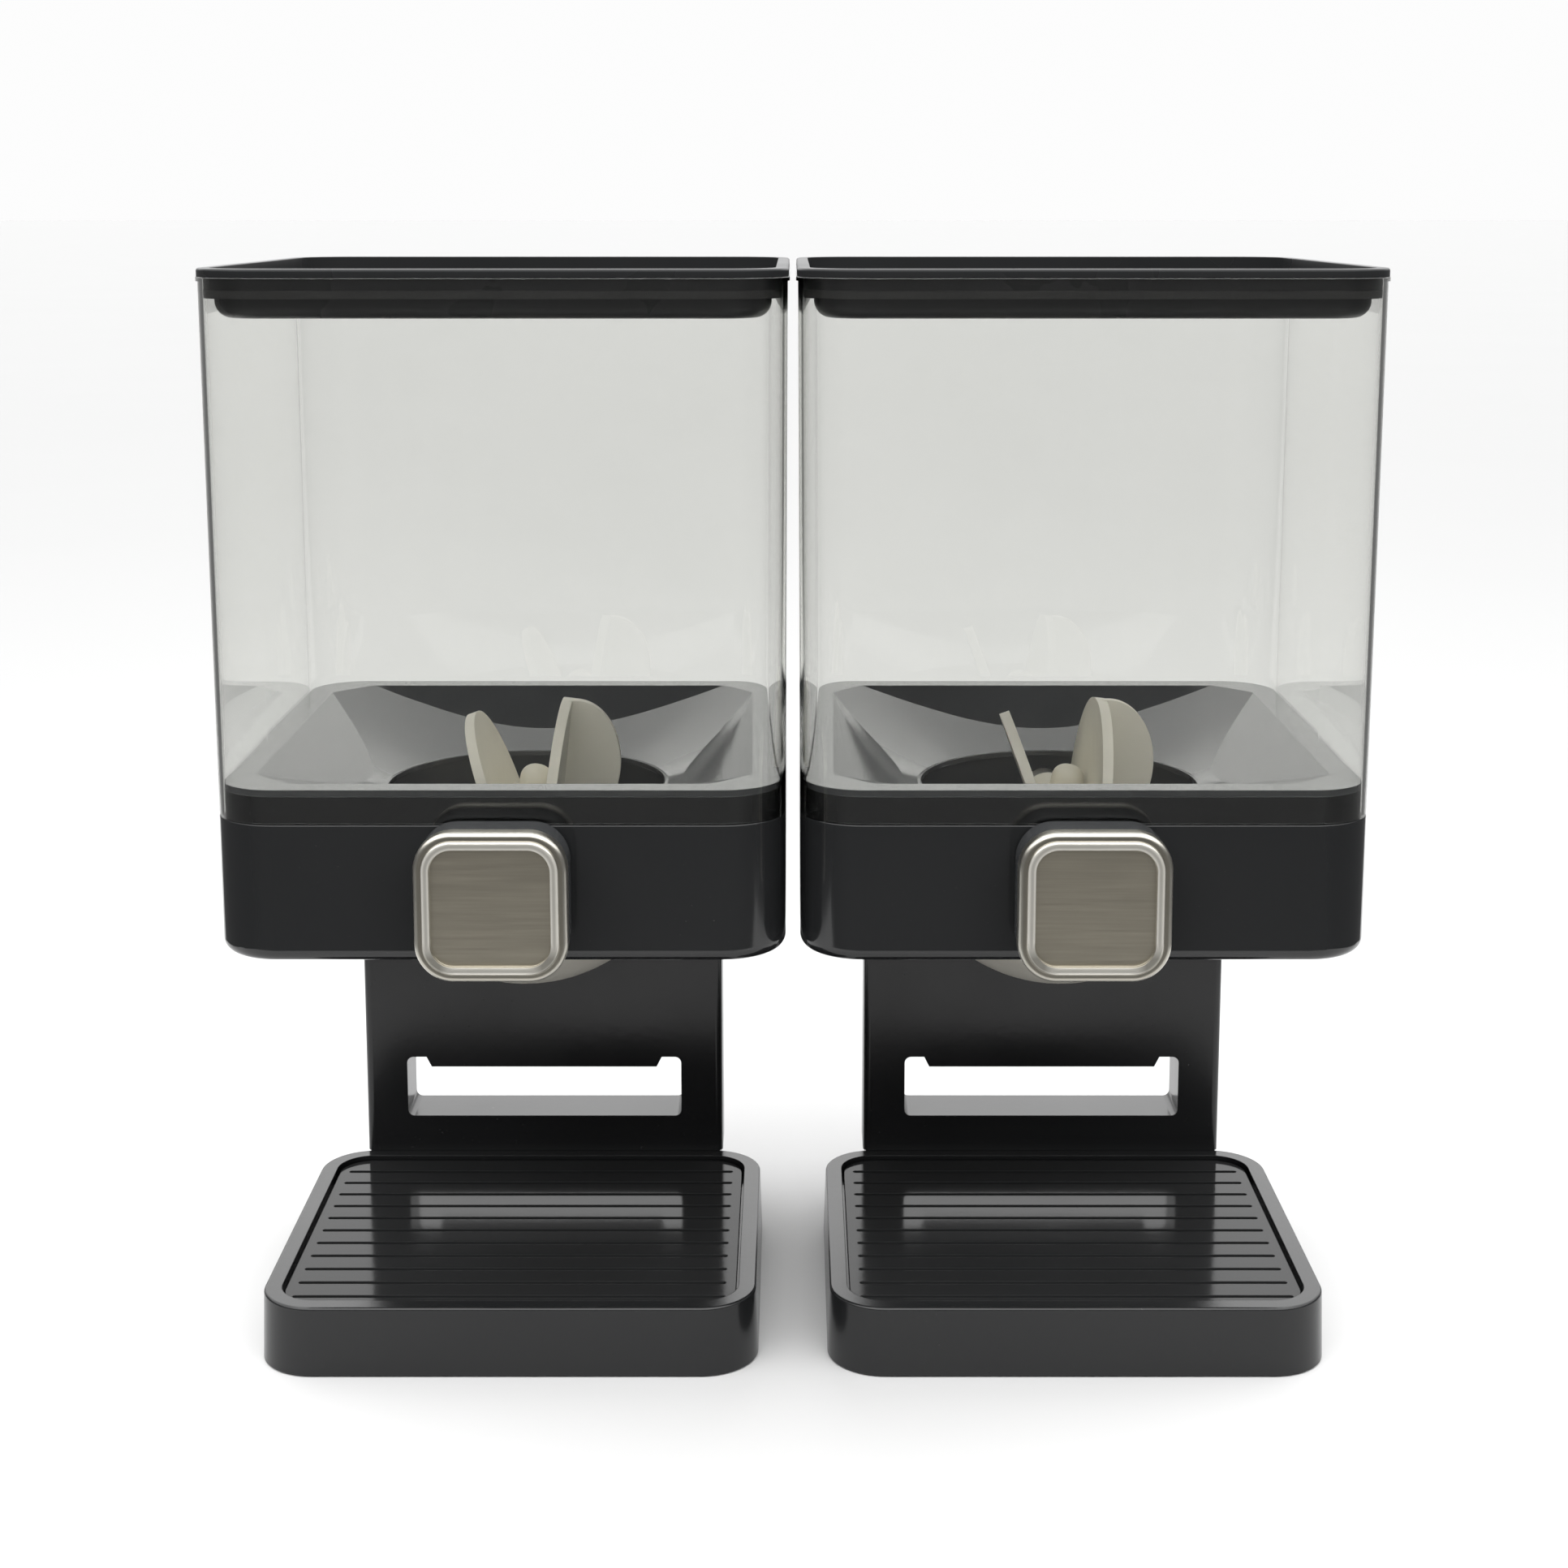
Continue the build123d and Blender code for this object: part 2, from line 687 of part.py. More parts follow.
def make_canister():
    """Clear square container, open below, tapering a little to its foot, with a lip round its top."""
    outline = [
        (shoulder_z, canister_foot_width),
        (canister_top_z, canister_top_width),
    ]
    with BuildPart() as canister:
        for z, width in outline:
            with BuildSketch(level(z)):
                RectangleRounded(width, width, canister_corner_radius)
        loft(ruled=True)
        with BuildSketch(level(canister_top_z)):
            RectangleRounded(lip_width, lip_width, canister_corner_radius + canister_lip)
        extrude(amount=-canister_lip_height)
        fillet(canister.faces().sort_by(Axis.Z)[-1].edges(), radius=canister_lip_round)
        for z, width in outline:
            with BuildSketch(level(z)):
                RectangleRounded(width - 2 * canister_wall, width - 2 * canister_wall, mouth_corner_radius)
        loft(ruled=True, mode=Mode.SUBTRACT)
    return canister.part


plug_width = mouth_width - 2 * lid_plug_clearance
plug_corner_radius = mouth_corner_radius - lid_plug_clearance
nose_width = plug_width - 2 * lid_nose_inset
nose_corner_radius = plug_corner_radius - lid_nose_inset
plug_bottom_z = canister_top_z - lid_plug_height
nose_bottom_z = plug_bottom_z - lid_nose_height


def make_lid():
    """Inset lid: a flat rim on the canister's edge, a stepped plug and a stepped dish in its top."""
    dish_width = nose_width - 2 * lid_wall
    step_width = plug_width - 2 * lid_plug_wall
    with BuildPart() as lid:
        with BuildSketch(level(canister_top_z)):
            RectangleRounded(lid_width, lid_width, lid_corner_radius)
        extrude(amount=lid_rim_height)
        fillet(lid.faces().sort_by(Axis.Z)[-1].edges(), radius=lid_rim_round)
        with BuildSketch(level(plug_bottom_z)):
            RectangleRounded(plug_width, plug_width, plug_corner_radius)
        extrude(amount=lid_plug_height)
        with BuildSketch(level(nose_bottom_z)):
            RectangleRounded(nose_width, nose_width, nose_corner_radius)
        extrude(amount=lid_nose_height)
        fillet(lid.faces().sort_by(Axis.Z)[0].edges(), radius=lid_nose_round)
        with BuildSketch(level(nose_bottom_z + lid_floor)):
            RectangleRounded(dish_width, dish_width, nose_corner_radius - lid_wall)
        extrude(amount=canister_top_z + lid_rim_height - nose_bottom_z, mode=Mode.SUBTRACT)
        with BuildSketch(level(plug_bottom_z + lid_plug_wall)):
            RectangleRounded(step_width, step_width, plug_corner_radius - lid_plug_wall)
        extrude(amount=lid_plug_height + lid_rim_height, mode=Mode.SUBTRACT)
    return lid.part


def make_lid_seal():
    """Soft ring round the lid's nose, just under the plug."""
    seal_width = mouth_width - 2 * seal_clearance
    with BuildPart() as lid_seal:
        with BuildSketch(level(plug_bottom_z)):
            RectangleRounded(seal_width, seal_width, mouth_corner_radius - seal_clearance)
            RectangleRounded(
                nose_width + 2 * seal_fit,
                nose_width + 2 * seal_fit,
                nose_corner_radius + seal_fit,
                mode=Mode.SUBTRACT,
            )
        extrude(amount=-seal_height)
    return lid_seal.part


cap_inner_width = knob_width - 2 * cap_wall
cap_inner_corner = knob_corner_radius - cap_wall
ring_corner_inset = (knob_width - ring_outer_width) / 2
panel_corner_inset = (knob_width - ring_inner_width) / 2


def make_knob_cap():
    """Metal cap over the knob's front, with a raised ring round a flat panel."""
    with BuildPart() as knob_cap:
        with BuildSketch(facing_front(cap_face_y)):
            RectangleRounded(knob_width, knob_width, knob_corner_radius)
        extrude(amount=-cap_depth)
        fillet(knob_cap.faces().sort_by(Axis.Y)[0].edges(), radius=cap_edge_round)
        with BuildSketch(facing_front(cap_face_y)):
            RectangleRounded(ring_outer_width, ring_outer_width, knob_corner_radius - ring_corner_inset)
        extrude(amount=ring_height)
        fillet(knob_cap.faces().sort_by(Axis.Y)[0].edges(), radius=ring_round)
        with BuildSketch(facing_front(knob_front_y)):
            RectangleRounded(ring_inner_width, ring_inner_width, knob_corner_radius - panel_corner_inset)
        extrude(amount=-(ring_height + panel_recess), mode=Mode.SUBTRACT)
        with BuildSketch(facing_front(core_front_y)):
            RectangleRounded(cap_inner_width, cap_inner_width, cap_inner_corner)
        extrude(amount=-(cap_depth - cap_front), mode=Mode.SUBTRACT)
    return knob_cap.part


def make_knob_core():
    """Dark hollow knob body behind the cap, with a boss for the shaft and its screw."""
    nose = cap_inner_width - 2 * core_fit
    body = knob_width - 2 * core_side_step
    cap_back_y = cap_face_y + cap_depth
    hollow = nose - 2 * core_wall
    with BuildPart() as knob_core:
        with BuildSketch(facing_front(cap_back_y)):
            RectangleRounded(body, body, knob_corner_radius - core_side_step)
        extrude(amount=-(knob_back_y - cap_back_y))
        fillet(knob_core.faces().sort_by(Axis.Y)[-1].edges(), radius=core_edge_round)
        with BuildSketch(facing_front(cap_back_y)):
            RectangleRounded(nose, nose, cap_inner_corner - core_fit)
        extrude(amount=cap_back_y - core_front_y)
        with BuildSketch(facing_front(core_front_y)):
            RectangleRounded(hollow, hollow, cap_inner_corner - core_fit - core_wall)
            Circle(core_boss_radius, mode=Mode.SUBTRACT)
        extrude(amount=-(knob_back_y - core_front_y - core_back), mode=Mode.SUBTRACT)
        with BuildSketch(facing_front(shaft_front_y)):
            Circle(shaft_radius + hub_fit)
        extrude(amount=-(knob_back_y - shaft_front_y), mode=Mode.SUBTRACT)
        with BuildSketch(facing_front(core_front_y)):
            Circle(screw_head_radius + screw_hole_clearance)
        extrude(amount=-(shaft_front_y - core_web - core_front_y), mode=Mode.SUBTRACT)
        with BuildSketch(facing_front(core_front_y)):
            Circle(knob_screw_radius + screw_hole_clearance)
        extrude(amount=-(shaft_front_y - core_front_y), mode=Mode.SUBTRACT)
    return knob_core.part


def make_knob_screw():
    """Screw from the knob's front into the end of the shaft."""
    head_y = shaft_front_y - core_web
    with BuildPart() as knob_screw:
        with BuildSketch(facing_front(head_y)):
            Circle(knob_screw_radius)
        extrude(amount=-knob_screw_length)
        with BuildSketch(facing_front(head_y)):
            Circle(screw_head_radius)
        extrude(amount=screw_head_height)
        with BuildSketch(facing_front(head_y - screw_head_height)):
            Rectangle(screw_recess_length, screw_recess_width)
            Rectangle(screw_recess_width, screw_recess_length)
        extrude(amount=-screw_recess_depth, mode=Mode.SUBTRACT)
    return knob_screw.part


def make_drive_shaft():
    """Steel shaft from knob to rear bush, tapped in front, cross-drilled and grooved for its clip."""
    screw_reach = knob_screw_length - core_web + screw_tip_gap
    with BuildPart() as drive_shaft:
        with BuildSketch(facing_front(shaft_front_y)):
            Circle(shaft_radius)
        extrude(amount=-(shaft_rear_y - shaft_front_y))
        with BuildSketch(facing_front(shaft_front_y)):
            Circle(knob_screw_radius + screw_pilot_fit)
        extrude(amount=-screw_reach, mode=Mode.SUBTRACT)
        with BuildSketch(level(axis_z)):
            Circle(pin_radius + pin_fit)
        extrude(amount=shaft_radius, both=True, mode=Mode.SUBTRACT)
        with BuildSketch(facing_back(clip_front_y)):
            Circle(shaft_radius)
            Circle(shaft_radius - clip_groove_depth, mode=Mode.SUBTRACT)
        extrude(amount=clip_thickness, mode=Mode.SUBTRACT)
    return drive_shaft.part


def make_bush(flange_plane, sleeve_length):
    """Plain flanged bearing whose flange stands on the plane and whose sleeve runs behind it."""
    with BuildPart() as bush:
        with BuildSketch(flange_plane):
            Circle(bush_flange_radius)
        extrude(amount=bush_flange)
        with BuildSketch(flange_plane):
            Circle(bush_radius)
        extrude(amount=-sleeve_length)
        with BuildSketch(flange_plane.offset(bush_flange)):
            Circle(shaft_radius + shaft_running_fit)
        extrude(amount=-(bush_flange + sleeve_length), mode=Mode.SUBTRACT)
    return bush.part


def make_front_bush():
    """Bearing in the housing's front wall."""
    return make_bush(facing_front(housing_front_y), housing_wall + bush_boss_length)


def make_rear_bush():
    """Bearing in the boss behind the funnel's throat."""
    return make_bush(facing_back(rear_boss_end_y), throat_boss_length)


def make_shaft_clip():
    """Open ring in the shaft's groove behind the rear bush."""
    with BuildPart() as shaft_clip:
        with BuildSketch(facing_back(clip_front_y)):
            Circle(clip_radius)
            Circle(shaft_radius - clip_groove_depth + hub_fit, mode=Mode.SUBTRACT)
            with Locations((0, -clip_radius)):
                Rectangle(clip_mouth_width, 2 * clip_radius, mode=Mode.SUBTRACT)
        extrude(amount=clip_thickness)
    return shaft_clip.part


def make_wheel_hub():
    """Stiff sleeve pinned to the shaft."""
    with BuildPart() as wheel_hub:
        with BuildSketch(facing_front(0)):
            Circle(hub_radius)
            Circle(shaft_radius + hub_fit, mode=Mode.SUBTRACT)
        extrude(amount=hub_half_length, both=True)
        with BuildSketch(level(axis_z)):
            Circle(pin_radius + pin_fit)
        extrude(amount=hub_radius, both=True, mode=Mode.SUBTRACT)
    return wheel_hub.part


def make_hub_pin():
    """Cross pin through hub and shaft."""
    with BuildPart() as hub_pin:
        with BuildSketch(level(axis_z)):
            Circle(pin_radius)
        extrude(amount=hub_radius - pin_end_gap, both=True)
    return hub_pin.part


def make_paddle_wheel():
    """Soft wheel: a barrel, pairs of round blades, a boss inside each pair, a wing on its longer blade."""
    pilot_radius = hub_radius / 2
    boss_shoulder = (wheel_boss_radius, wheel_boss_reach - wheel_boss_round)
    boss_crown = (wheel_boss_radius - wheel_boss_round, wheel_boss_reach)
    blades = (
        (short_blade_angle, short_blade_offset, short_blade_radius, short_blade_end_set),
        (long_blade_angle, long_blade_offset, long_blade_radius, long_blade_end_set),
    )
    with BuildPart() as paddle_wheel:
        with BuildSketch(level(axis_z)):
            with BuildLine():
                Polyline(
                    (barrel_end_radius, barrel_half_length),
                    (pilot_radius, barrel_half_length),
                    (pilot_radius, -barrel_half_length),
                    (barrel_end_radius, -barrel_half_length),
                )
                ThreePointArc(
                    (barrel_end_radius, -barrel_half_length),
                    (barrel_middle_radius, 0),
                    (barrel_end_radius, barrel_half_length),
                )
            make_face()
        revolve(axis=wheel_axis)
        for pair in range(blade_pairs):
            turn = 360 / blade_pairs * pair
            for angle, offset, reach, end_set in blades:
                blade_half = wheel_radius - end_set
                with BuildSketch(radial(angle + turn, offset)):
                    with BuildLine():
                        ThreePointArc((-blade_half, blade_root), (0, reach), (blade_half, blade_root))
                        Line((blade_half, blade_root), (-blade_half, blade_root))
                    make_face()
                extrude(amount=blade_thickness / 2, both=True)
            with BuildSketch(crosswise(long_blade_angle + turn, long_blade_offset)):
                with Locations((wing_shift, wing_rise)):
                    Ellipse(wing_half_width, wing_half_height)
                with Locations((0, wing_rise)):
                    Rectangle(
                        2 * wing_half_width,
                        2 * wing_half_height,
                        align=(Align.MIN, Align.CENTER),
                        mode=Mode.INTERSECT,
                    )
            extrude(amount=blade_thickness / 2, both=True)
            boss_plane = radial(wheel_boss_angle + turn, 0)
            with BuildSketch(boss_plane):
                with BuildLine():
                    Polyline(
                        boss_crown, (0, wheel_boss_reach), (0, 0), (wheel_boss_radius, 0), boss_shoulder
                    )
                    RadiusArc(boss_shoulder, boss_crown, -wheel_boss_round)
                make_face()
            revolve(axis=Axis(boss_plane.origin, boss_plane.y_dir))
        with BuildSketch(facing_front(0)):
            Circle(hub_radius + hub_fit)
        extrude(amount=wheel_radius, both=True, mode=Mode.SUBTRACT)
    return paddle_wheel.part


pieces = {
    "base_shell": make_base_shell(),
    "crumb_tray": make_crumb_tray(),
    "base_feet": make_base_feet(),
    "column_shell": make_column_shell(),
    "column_rear_cover": make_column_rear_cover(),
    "cover_screws": make_cover_screws(),
    "column_base_screws": make_column_base_screws(),
    "housing_shell": make_housing_shell(),
    "housing_column_screws": make_housing_column_screws(),
    "funnel": make_funnel(),
    "outlet_cup": make_outlet_cup(),
    "cup_screws": make_cup_screws(),
    "canister": make_canister(),
    "lid": make_lid(),
    "lid_seal": make_lid_seal(),
    "knob_cap": make_knob_cap(),
    "knob_core": make_knob_core(),
    "knob_screw": make_knob_screw(),
    "drive_shaft": make_drive_shaft(),
    "front_bush": make_front_bush(),
    "rear_bush": make_rear_bush(),
    "shaft_clip": make_shaft_clip(),
    "wheel_hub": make_wheel_hub(),
    "hub_pin": make_hub_pin(),
    "paddle_wheel": make_paddle_wheel(),
}

os.makedirs("parts", exist_ok=True)
for side, unit_x in unit_places.items():
    for name, piece in pieces.items():
        placed = piece.moved(Location((unit_x, set_shift_y, 0)))
        placed.label = f"{side}_{name}"
        export_step(placed, f"parts/{side}_{name}.step")
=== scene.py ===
import math

import bpy
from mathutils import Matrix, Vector


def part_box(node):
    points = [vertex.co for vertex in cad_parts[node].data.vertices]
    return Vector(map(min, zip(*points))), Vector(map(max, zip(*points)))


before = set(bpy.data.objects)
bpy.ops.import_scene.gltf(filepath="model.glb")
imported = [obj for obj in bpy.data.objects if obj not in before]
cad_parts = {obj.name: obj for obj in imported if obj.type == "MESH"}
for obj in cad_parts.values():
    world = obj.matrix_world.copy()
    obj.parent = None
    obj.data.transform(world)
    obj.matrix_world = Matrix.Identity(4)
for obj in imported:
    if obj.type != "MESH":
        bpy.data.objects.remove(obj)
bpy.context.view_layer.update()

UNITS = ("left", "right")

# The knob's place and half width in metres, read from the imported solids, and its corner radius
knob_low, knob_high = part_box("right_knob_cap")
KNOB_X = (knob_low.x + knob_high.x) / 2
AXIS_Z = (knob_low.z + knob_high.z) / 2
KNOB_HALF = (knob_high.x - knob_low.x) / 2
KNOB_CORNER = 0.0115

# Bands on the knob's face in metres, each from its faint end to its full end: in from the
# cap's outline, except the crease, about the ring's middle, and the low corners, from the axis
LIP_BAND = (0.0007, 0.0002)
# The valley band marks where painted shade darkens the groove
VALLEY_BAND = (0.0010, 0.0014)
RING_BAND = (0.0024, 0.0028)
RING_MIDDLE = 0.0038
CREASE_BAND = (0.0007, 0.0002)
PANEL_BAND = (0.0047, 0.0050)
# The low-corner band places painted shade on the ring's lower corners
LOW_CORNER_SHADE_BAND = (0.009, 0.015)

# How far the lip brightens, how far the crease and the drift darken, and what the ring loses of metal
# The lip's glint is a painted highlight along the cap's outer edge
LIP_GLINT = 0.4
# The crease's shade is painted shade along the ring's middle
CREASE_SHADE = 0.45
DRIFT_SHADE = 0.3
RING_DULLING = 0.4

# Colours of the nickel, darker one first where there are two
NICKEL_BRUSHED = (0.343, 0.315, 0.256, 1.0), (0.468, 0.433, 0.351, 1.0)
NICKEL_EDGE = (0.40, 0.385, 0.34, 1.0), (0.48, 0.462, 0.41, 1.0)
# Painted shade colour for the valley groove
NICKEL_VALLEY_SHADE = (0.36, 0.338, 0.285, 1.0)
# The polished ring's own colour, also used for the lip's painted highlight
NICKEL_BRIGHT = (0.80, 0.775, 0.71, 1.0)
# Darker ring colour: random drift, plus painted shade at the crease and the lower corners
NICKEL_SHADED = (0.27, 0.26, 0.228, 1.0)

# Other colours, darker one first, and plain tones
ACRYLIC_TINTS = (0.866, 0.871, 0.851, 1.0), (0.892, 0.895, 0.876, 1.0)
STEEL_TONES = (0.46, 0.46, 0.47, 1.0), (0.58, 0.58, 0.585, 1.0)
WHEEL_TONES = (0.86, 0.825, 0.72, 1.0), (0.92, 0.885, 0.775, 1.0)
CUP_TONES = (0.47, 0.452, 0.40, 1.0), (0.52, 0.50, 0.445, 1.0)
HUB_TONES = (0.40, 0.387, 0.35, 1.0), (0.46, 0.445, 0.40, 1.0)
BUSH_TONES = (0.70, 0.69, 0.65, 1.0), (0.78, 0.77, 0.73, 1.0)
WHITE = (1.0, 1.0, 1.0, 1.0)
DUST_TONE = 0.16
# Floor tones near the dispensers and far back; the darker far tone is painted shade
FLOOR_NEAR_TONE = 0.53
FLOOR_FAR_SHADED_TONE = 0.34

# How closely the marks of a finish lie along x, y and z
BRUSHING = (30.0, 900.0, 1400.0)
TRAY_WIPES = (6.0, 260.0, 260.0)
CANISTER_RUBS = (160.0, 160.0, 12.0)
LATHE_RINGS = (40.0, 2600.0, 40.0)

# Easing of sharp edges: radius in metres and samples
EDGE_RADIUS = 0.0004
EDGE_SAMPLES = 6

# Right half of the floor's outline, from its front edge to its far end, in metres
FLOOR_RIGHT = [(0.45, -0.32, 0), (0.45, 0.25, 0), (20.5, 60, 0)]

# Light of the studio's parts
BACKDROP_LIGHT = 0.98
WALL_LIGHT = 0.2
SIDE_WALL_LOSS = 0.06
WINDOW_LIGHT = 0.8
CEILING_LIGHT = 2.3
FRONT_CEILING_GAIN = 2.2

# What the studio asks of a ray, and how many wall faces it crosses to pass a whole canister
RAY_FACTS = ("Is Camera Ray", "Is Transmission Ray", "Transmission Depth", "Diffuse Depth", "Glossy Depth")
CANISTER_FACES = 4

# Overhead softbox, in metres and watts
SOFTBOX_PLACE = (0.0, 0.35, 1.5)
SOFTBOX_AIM = (0.0, 0.0, 0.15)
SOFTBOX_SIZE = (1.6, 1.0)
SOFTBOX_POWER = 14.0

# Camera that matches the photograph: metres, degrees below level, millimetres, parts of the frame
CAMERA_PLACE = (0.0, -0.7822, 0.35525)
CAMERA_PITCH = 8.864
CAMERA_LENS = 55.97
CAMERA_SENSOR = 36.0
CAMERA_SHIFT = (-0.0057, -0.1262)
CAMERA_NEAR = 0.01


class Wire:
    """A shader value that can stand in Python sums; each sum adds its own Math node."""

    def __init__(self, board, socket):
        self.board = board
        self.socket = socket

    def sum(self, operation, first, second=0.0):
        return self.board.node("ShaderNodeMath", {"operation": operation}, {0: first, 1: second})

    def __add__(self, other):
        return self.sum("ADD", self, other)

    def __sub__(self, other):
        return self.sum("SUBTRACT", self, other)

    def __rsub__(self, other):
        return self.sum("SUBTRACT", other, self)

    def __mul__(self, other):
        return self.sum("MULTIPLY", self, other)

    def __pow__(self, other):
        return self.sum("POWER", self, other)

    def __abs__(self):
        return self.sum("ABSOLUTE", self)

    def __gt__(self, other):
        return self.sum("GREATER_THAN", self, other)

    def most(self, other):
        return self.sum("MAXIMUM", self, other)

    def least(self, other):
        return self.sum("MINIMUM", self, other)

    __radd__ = __add__
    __rmul__ = __mul__


class Board:
    """A node tree with one way of adding nodes."""

    def __init__(self, tree):
        self.tree = tree

    def plug(self, value, socket):
        """Links a wire to a socket, or sets a plain value on it."""
        if isinstance(value, Wire):
            self.tree.links.new(value.socket, socket)
        else:
            socket.default_value = value

    def node(self, kind, settings=None, sockets=None, output=0):
        """A new node, given as the wire of one of its outputs."""
        made = self.tree.nodes.new(kind)
        for name, value in (settings or {}).items():
            setattr(made, name, value)
        for name, value in (sockets or {}).items():
            self.plug(value, made.inputs[name])
        return Wire(self, made.outputs[output])

    def axes(self, vector):
        """The three parts of a vector."""
        return [self.node("ShaderNodeSeparateXYZ", None, {0: vector}, part) for part in range(3)]

    def stretch(self, vector, scale):
        """The vector with each part scaled."""
        return self.node("ShaderNodeVectorMath", {"operation": "MULTIPLY"}, {0: vector, 1: scale})

    def noise(self, vector, scale, detail=3.0, roughness=0.55):
        """Cloudy noise, from about 0.2 to 0.8."""
        return self.node(
            "ShaderNodeTexNoise",
            None,
            {"Vector": vector, "Scale": scale, "Detail": detail, "Roughness": roughness},
        )

    def span(self, value, low, high, to_low=0.0, to_high=1.0):
        """The value's stretch from low to high, spread over another range and held at its ends."""
        return self.node(
            "ShaderNodeMapRange",
            {"clamp": True},
            {"Value": value, "From Min": low, "From Max": high, "To Min": to_low, "To Max": to_high},
        )

    def mix(self, factor, first, second):
        """A colour between two."""
        return self.node("ShaderNodeMix", {"data_type": "RGBA"}, {0: factor, 6: first, 7: second}, 2)


class Finish(Board):
    """A material round one Principled shader, with fixed values set on its own sockets."""

    def __init__(self, name, fixed):
        self.material = bpy.data.materials.new(name)
        self.material.use_nodes = True
        super().__init__(self.material.node_tree)
        self.shader = self.tree.nodes["Principled BSDF"]
        for socket, value in fixed.items():
            self.shader.inputs[socket].default_value = value
        self.place = self.node("ShaderNodeTexCoord", output="Object")

    def feed(self, **values):
        """Links what varies: names are the shader's sockets, written with underscores."""
        for name, value in values.items():
            self.plug(value, self.shader.inputs[name.replace("_", " ")])
        return self.material

    def bump(self, height, strength, distance):
        """A normal with this relief on a surface whose sharp edges are eased."""
        eased = self.node("ShaderNodeBevel", {"samples": EDGE_SAMPLES}, {"Radius": EDGE_RADIUS})
        relief = {"Strength": strength, "Distance": distance, "Height": height, "Normal": eased}
        return self.node("ShaderNodeBump", None, relief)


def grey(value, warmth=0.0):
    """A near-neutral colour, warm above zero."""
    return (value * (1 + warmth), value, value * (1 - warmth), 1.0)


def moulded_black(name, tone, sheen, peel, shine=0.5):
    """Moulded black plastic: faint flow clouds in the gloss, orange peel and a few dust specks."""
    finish = Finish(name, {"IOR": 1.48, "Specular IOR Level": shine})
    clouds = finish.noise(finish.place, scale=14.0, detail=4.0)
    specks = finish.noise(finish.place, scale=900.0, detail=2.0, roughness=0.7)
    dust = finish.span(specks, low=0.72, high=0.8) * finish.span(clouds, low=0.45, high=0.7)
    skin = finish.noise(finish.place, scale=420.0, detail=2.0)
    colour = finish.mix(clouds, grey(tone * 0.85, warmth=-0.05), grey(tone * 1.15, warmth=-0.03))
    gloss = finish.span(clouds, low=0.3, high=0.7, to_low=sheen * 0.8, to_high=sheen * 1.25)
    return finish.feed(
        Base_Color=finish.mix(dust * 0.35, colour, grey(DUST_TONE, warmth=0.05)),
        Roughness=gloss + dust * 0.2,
        Normal=finish.bump(skin, strength=peel, distance=0.00004),
    )


def tray_black():
    """The tray's gloss with fine wiping marks along its length."""
    finish = Finish("tray_gloss_black", {"IOR": 1.5, "Specular IOR Level": 0.12})
    clouds = finish.noise(finish.place, scale=18.0, detail=4.0)
    wipes = finish.noise(finish.stretch(finish.place, TRAY_WIPES), scale=5.0)
    marks = finish.span(wipes, low=0.58, high=0.75)
    skin = finish.noise(finish.place, scale=380.0, detail=2.0)
    return finish.feed(
        Base_Color=finish.mix(clouds, grey(0.013), grey(0.018, warmth=-0.03)),
        Roughness=0.07 + clouds * 0.05 + marks * 0.06,
        Normal=finish.bump(skin, strength=0.18, distance=0.00004),
    )


def clear_acrylic():
    """Clear, very slightly smoky wall with faint handling haze and upright rubbing marks."""
    finish = Finish("clear_acrylic", {"Transmission Weight": 1.0, "IOR": 1.49})
    smears = finish.noise(finish.place, scale=9.0, detail=5.0, roughness=0.6)
    strokes = finish.noise(finish.stretch(finish.place, CANISTER_RUBS), scale=3.0)
    haze = finish.span(smears, low=0.45, high=0.8)
    rubs = finish.span(strokes, low=0.62, high=0.8)
    smoky, clear = ACRYLIC_TINTS
    return finish.feed(
        Base_Color=finish.mix(haze, clear, smoky),
        Roughness=haze * 0.012 + rubs * 0.01,
    )


